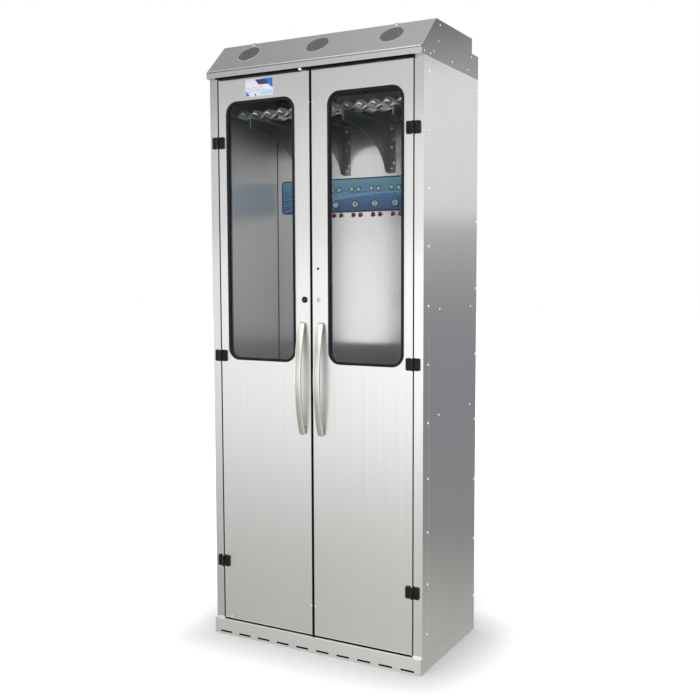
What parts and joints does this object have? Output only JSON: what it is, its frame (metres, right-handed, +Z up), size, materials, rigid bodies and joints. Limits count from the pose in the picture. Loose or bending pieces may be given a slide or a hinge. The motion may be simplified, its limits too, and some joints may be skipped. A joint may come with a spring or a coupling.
{
  "type": "endoscope drying cabinet",
  "caption": "Tall stainless steel storage cabinet with glazed double doors, a sloping ventilated hood, hanging racks and an air drying panel inside, on a slotted plinth.",
  "frame": {"origin": "centre of the footprint at floor level, under the bounding box", "axes": "+Z up, -Y out of the front doors, +X to the right when facing the doors"},
  "size_m": [0.9144, 0.554, 2.3504],
  "materials": {
    "body_steel": "vertical brushed grain",
    "bright_steel": "polished",
    "handle_nickel": "satin nickel",
    "hinge_black": "black satin",
    "rubber_black": "matte",
    "glass": "clear safety glass",
    "panel_print": "printed blue overlay",
    "fitting_red": "glossy",
    "white_plastic": "glossy",
    "black_plastic": "fine texture",
    "filter_white": "pleated media in a frame"
  },
  "bodies": {
    "cabinet": {"plinth": "body_steel", "floor_panel": "body_steel", "left_side_panel": "body_steel", "right_side_panel": "body_steel", "front_frame": "body_steel", "rear_panel": "body_steel", "left_liner": "body_steel", "right_liner": "body_steel", "inner_back_wall": "body_steel", "ceiling_panel": "body_steel", "hood_shell": "body_steel", "hepa_filter": "filter_white", "hood_hinge_fixed_leaf": "bright_steel", "power_inlet": "black_plastic", "air_pump": "black_plastic", "air_manifold": "fitting_red", "drying_panel": "panel_print", "scope_rack": "bright_steel", "rack_bracket_1": "body_steel", "rack_bracket_2": "body_steel", "rack_bracket_3": "body_steel", "rack_bracket_4": "body_steel", "left_hinge_1_frame_leaf": "hinge_black", "left_hinge_2_frame_leaf": "hinge_black", "left_hinge_3_frame_leaf": "hinge_black", "right_hinge_1_frame_leaf": "hinge_black", "right_hinge_2_frame_leaf": "hinge_black", "right_hinge_3_frame_leaf": "hinge_black"},
    "left_door": {"left_door_skin": "body_steel", "left_window_gasket": "rubber_black", "left_window_glass": "glass", "left_handle": "handle_nickel", "left_hinge_1_door_leaf": "hinge_black", "left_hinge_2_door_leaf": "hinge_black", "left_hinge_3_door_leaf": "hinge_black", "lock_sleeve": "hinge_black"},
    "right_door": {"right_door_skin": "body_steel", "right_window_gasket": "rubber_black", "right_window_glass": "glass", "right_handle": "handle_nickel", "right_hinge_1_door_leaf": "hinge_black", "right_hinge_2_door_leaf": "hinge_black", "right_hinge_3_door_leaf": "hinge_black"},
    "lock": {"lock_plug": "bright_steel"},
    "hood_panel": {"hood_access_panel": "body_steel", "hood_hinge_moving_leaf": "bright_steel", "fan_frame": "black_plastic"},
    "rotor_1": {"fan_rotor_1": "black_plastic"},
    "rotor_2": {"fan_rotor_2": "black_plastic"},
    "rotor_3": {"fan_rotor_3": "black_plastic"},
    "latch_left": {"hood_latch_left": "bright_steel"},
    "latch_right": {"hood_latch_right": "bright_steel"},
    "button_1": {"channel_button_1": "white_plastic"},
    "button_2": {"channel_button_2": "white_plastic"},
    "button_3": {"channel_button_3": "white_plastic"},
    "button_4": {"channel_button_4": "white_plastic"},
    "button_5": {"channel_button_5": "white_plastic"},
    "button_6": {"channel_button_6": "white_plastic"},
    "button_7": {"channel_button_7": "white_plastic"},
    "button_8": {"channel_button_8": "white_plastic"}
  },
  "joints": [
    {"name": "left_door_hinge", "type": "hinge", "parent": "cabinet", "child": "left_door", "pos_m": [-0.41775, -0.242, 1.131], "axis": [0, 0, -1], "range_deg": [0, 120]},
    {"name": "right_door_hinge", "type": "hinge", "parent": "cabinet", "child": "right_door", "pos_m": [0.41775, -0.242, 1.131], "axis": [0, 0, 1], "range_deg": [0, 120]},
    {"name": "lock_turn", "type": "hinge", "parent": "left_door", "child": "lock", "pos_m": [-0.0306, -0.235, 1.356], "axis": [0, -1, 0], "range_deg": [0, 90]},
    {"name": "hood_panel_hinge", "type": "hinge", "parent": "cabinet", "child": "hood_panel", "pos_m": [0, -0.25456, 2.2321], "axis": [1, 0, 0], "range_deg": [0, 120]},
    {"name": "fan_1_spin", "type": "hinge", "parent": "hood_panel", "child": "rotor_1", "pos_m": [-0.307, -0.17384, 2.29185], "axis": [0, -0.6983, 0.7158], "continuous": true},
    {"name": "fan_2_spin", "type": "hinge", "parent": "hood_panel", "child": "rotor_2", "pos_m": [0, -0.17384, 2.29185], "axis": [0, -0.6983, 0.7158], "continuous": true},
    {"name": "fan_3_spin", "type": "hinge", "parent": "hood_panel", "child": "rotor_3", "pos_m": [0.307, -0.17384, 2.29185], "axis": [0, -0.6983, 0.7158], "continuous": true},
    {"name": "latch_left_turn", "type": "hinge", "parent": "hood_panel", "child": "latch_left", "pos_m": [-0.308, -0.14076, 2.34243], "axis": [0, -0.6983, 0.7158], "range_deg": [0, 90]},
    {"name": "latch_right_turn", "type": "hinge", "parent": "hood_panel", "child": "latch_right", "pos_m": [0.308, -0.14076, 2.34243], "axis": [0, -0.6983, 0.7158], "range_deg": [0, 90]},
    {"name": "button_1_press", "type": "slide", "parent": "cabinet", "child": "button_1", "axis": [0, 1, 0], "range_m": [0, 0.0015], "stiffness_N_per_m": 300},
    {"name": "button_2_press", "type": "slide", "parent": "cabinet", "child": "button_2", "axis": [0, 1, 0], "range_m": [0, 0.0015], "stiffness_N_per_m": 300},
    {"name": "button_3_press", "type": "slide", "parent": "cabinet", "child": "button_3", "axis": [0, 1, 0], "range_m": [0, 0.0015], "stiffness_N_per_m": 300},
    {"name": "button_4_press", "type": "slide", "parent": "cabinet", "child": "button_4", "axis": [0, 1, 0], "range_m": [0, 0.0015], "stiffness_N_per_m": 300},
    {"name": "button_5_press", "type": "slide", "parent": "cabinet", "child": "button_5", "axis": [0, 1, 0], "range_m": [0, 0.0015], "stiffness_N_per_m": 300},
    {"name": "button_6_press", "type": "slide", "parent": "cabinet", "child": "button_6", "axis": [0, 1, 0], "range_m": [0, 0.0015], "stiffness_N_per_m": 300},
    {"name": "button_7_press", "type": "slide", "parent": "cabinet", "child": "button_7", "axis": [0, 1, 0], "range_m": [0, 0.0015], "stiffness_N_per_m": 300},
    {"name": "button_8_press", "type": "slide", "parent": "cabinet", "child": "button_8", "axis": [0, 1, 0], "range_m": [0, 0.0015], "stiffness_N_per_m": 300}
  ]
}
